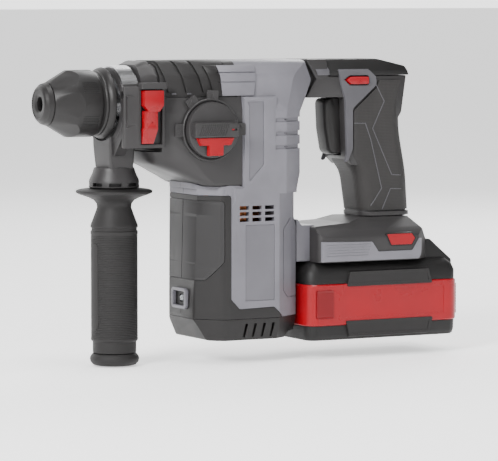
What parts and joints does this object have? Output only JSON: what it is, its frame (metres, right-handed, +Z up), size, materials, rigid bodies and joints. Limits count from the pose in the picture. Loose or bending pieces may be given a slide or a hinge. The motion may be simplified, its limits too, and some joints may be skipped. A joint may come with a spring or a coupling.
{
  "type": "rotary hammer",
  "caption": "Cordless rotary hammer: quick-release chuck, vertical motor, D-handle with trigger, slide-on battery and swinging side handle.",
  "frame": {"origin": "on the spindle axis, in the face of the impact bolt that a bit's shank rests on", "axes": "-X forward out of the chuck, +Z up, -Y the side with the mode knob"},
  "size_m": [0.3274, 0.0882, 0.218],
  "materials": {
    "light_grey_plastic": "moulded, fine grain, satin",
    "dark_grey_plastic": "moulded, fine grain, satin",
    "black_plastic": "moulded, matt",
    "soft_rubber": "overmoulded soft grip",
    "red_plastic": "moulded, semi-gloss",
    "bright_steel": "turned and polished",
    "dark_steel": "blackened",
    "copper_winding": "wound wire and laminations",
    "circuit_board": "solder resist",
    "cells": "shrink-wrapped cans",
    "clear_lens": "clear"
  },
  "bodies": {
    "body": {"gear_case": "dark_grey_plastic", "top_bumper": "soft_rubber", "mode_ring": "dark_grey_plastic", "motor_housing_left": "light_grey_plastic", "motor_housing_right": "light_grey_plastic", "motor_cover": "dark_grey_plastic", "motor_end_cap": "dark_grey_plastic", "work_light_bezel": "bright_steel", "work_light_lens": "clear_lens", "handle_left": "dark_grey_plastic", "handle_right": "dark_grey_plastic", "handle_seal": "soft_rubber", "rear_top_cap": "black_plastic", "grip_overmould": "soft_rubber", "slider_bezel_left": "light_grey_plastic", "slider_bezel_right": "light_grey_plastic", "battery_foot": "dark_grey_plastic", "foot_trim_left": "light_grey_plastic", "foot_trim_right": "light_grey_plastic", "controller_board": "circuit_board", "terminal_block": "copper_winding", "trigger_switch": "black_plastic", "gear_plate": "dark_steel", "front_bearing": "bright_steel", "rear_bearing": "bright_steel", "upper_motor_bearing": "bright_steel", "lower_motor_bearing": "bright_steel", "stator": "copper_winding"},
    "rotor": {"rotor_shaft": "bright_steel", "rotor_core": "dark_steel", "cooling_fan": "black_plastic"},
    "crank_gear": {"crank_gear": "bright_steel"},
    "bevel_shaft": {"bevel_pinion_shaft": "bright_steel"},
    "spindle": {"spindle": "bright_steel", "spindle_crown_gear": "bright_steel", "dust_cap": "soft_rubber", "sleeve_spring": "bright_steel"},
    "locking_sleeve": {"locking_sleeve": "dark_grey_plastic"},
    "impact_bolt": {"impact_bolt": "dark_steel"},
    "striker": {"striker": "dark_steel"},
    "piston": {"piston": "bright_steel"},
    "connecting_rod": {"connecting_rod": "dark_steel"},
    "mode_knob": {"mode_knob": "dark_grey_plastic"},
    "knob_lock_button": {"knob_lock_button": "red_plastic"},
    "trigger": {"trigger": "dark_grey_plastic"},
    "direction_slider": {"direction_slider": "red_plastic"},
    "side_handle": {"clamp_band": "bright_steel", "side_bracket": "dark_grey_plastic", "handle_bolt": "bright_steel"},
    "depth_stop_button": {"depth_stop_button": "red_plastic"},
    "side_grip": {"side_grip": "soft_rubber", "grip_end_cap": "black_plastic"},
    "battery": {"battery_lower_case": "black_plastic", "battery_band": "red_plastic", "battery_upper_case": "black_plastic", "cell_row_lower": "cells", "cell_row_upper": "cells", "pack_board": "circuit_board", "charge_gauge": "clear_lens"},
    "battery_latch": {"battery_latch": "red_plastic"}
  },
  "joints": [
    {"name": "rotor_spin", "type": "hinge", "parent": "body", "child": "rotor", "pos_m": [0.1, 0, -0.095], "axis": [0, 0, 1], "continuous": true},
    {"name": "crank_gear_spin", "type": "hinge", "parent": "body", "child": "crank_gear", "pos_m": [0.122, 0, -0.034], "axis": [0, 0, 1], "continuous": true},
    {"name": "bevel_shaft_spin", "type": "hinge", "parent": "body", "child": "bevel_shaft", "pos_m": [0.078, 0, -0.034], "axis": [0, 0, 1], "continuous": true},
    {"name": "spindle_spin", "type": "hinge", "parent": "body", "child": "spindle", "pos_m": [0, 0, 0], "axis": [1, 0, 0], "continuous": true},
    {"name": "sleeve_slide", "type": "slide", "parent": "spindle", "child": "locking_sleeve", "axis": [1, 0, 0], "range_m": [0, 0.0045], "stiffness_N_per_m": 2500, "springref_m": -0.003, "deforming": ["sleeve_spring"]},
    {"name": "impact_bolt_slide", "type": "slide", "parent": "body", "child": "impact_bolt", "axis": [1, 0, 0], "range_m": [0, 0.004]},
    {"name": "striker_slide", "type": "slide", "parent": "body", "child": "striker", "axis": [1, 0, 0], "range_m": [0, 0.004]},
    {"name": "piston_slide", "type": "slide", "parent": "body", "child": "piston", "axis": [1, 0, 0], "range_m": [0, 0.016]},
    {"name": "connecting_rod_pivot", "type": "hinge", "parent": "piston", "child": "connecting_rod", "pos_m": [0.058, 0, 0], "axis": [0, 0, 1], "range_deg": [-8, 8]},
    {"name": "mode_knob_turn", "type": "hinge", "parent": "body", "child": "mode_knob", "pos_m": [0.067, 0, -0.019], "axis": [0, -1, 0], "range_deg": [0, 180]},
    {"name": "knob_lock_press", "type": "slide", "parent": "mode_knob", "child": "knob_lock_button", "axis": [0, 0, 1], "range_m": [0, 0.0025], "stiffness_N_per_m": 600, "springref_m": -0.002},
    {"name": "trigger_pull", "type": "slide", "parent": "body", "child": "trigger", "axis": [1, 0, 0], "range_m": [0, 0.006], "stiffness_N_per_m": 1200, "springref_m": -0.004},
    {"name": "direction_slide", "type": "slide", "parent": "body", "child": "direction_slider", "axis": [0, 1, 0], "range_m": [-0.003, 0.003]},
    {"name": "side_handle_swing", "type": "hinge", "parent": "body", "child": "side_handle", "pos_m": [0, 0, 0], "axis": [1, 0, 0], "range_deg": [-180, 0]},
    {"name": "depth_stop_press", "type": "slide", "parent": "side_handle", "child": "depth_stop_button", "axis": [0, 1, 0], "range_m": [0, 0.0025], "stiffness_N_per_m": 800, "springref_m": -0.002},
    {"name": "side_grip_twist", "type": "hinge", "parent": "side_handle", "child": "side_grip", "pos_m": [0.0093, 0, -0.1], "axis": [0, 0, 1], "range_deg": [0, 360]},
    {"name": "battery_slide", "type": "slide", "parent": "body", "child": "battery", "axis": [1, 0, 0], "range_m": [0, 0.09]},
    {"name": "battery_latch_press", "type": "slide", "parent": "battery", "child": "battery_latch", "axis": [0, 0, -1], "range_m": [0, 0.0025], "stiffness_N_per_m": 800, "springref_m": -0.002}
  ],
  "couplings": [
    {"joint": "crank_gear_spin", "follows": "rotor_spin", "ratio": -0.2963},
    {"joint": "bevel_shaft_spin", "follows": "rotor_spin", "ratio": -0.2963},
    {"joint": "spindle_spin", "follows": "rotor_spin", "ratio": 0.17778}
  ]
}
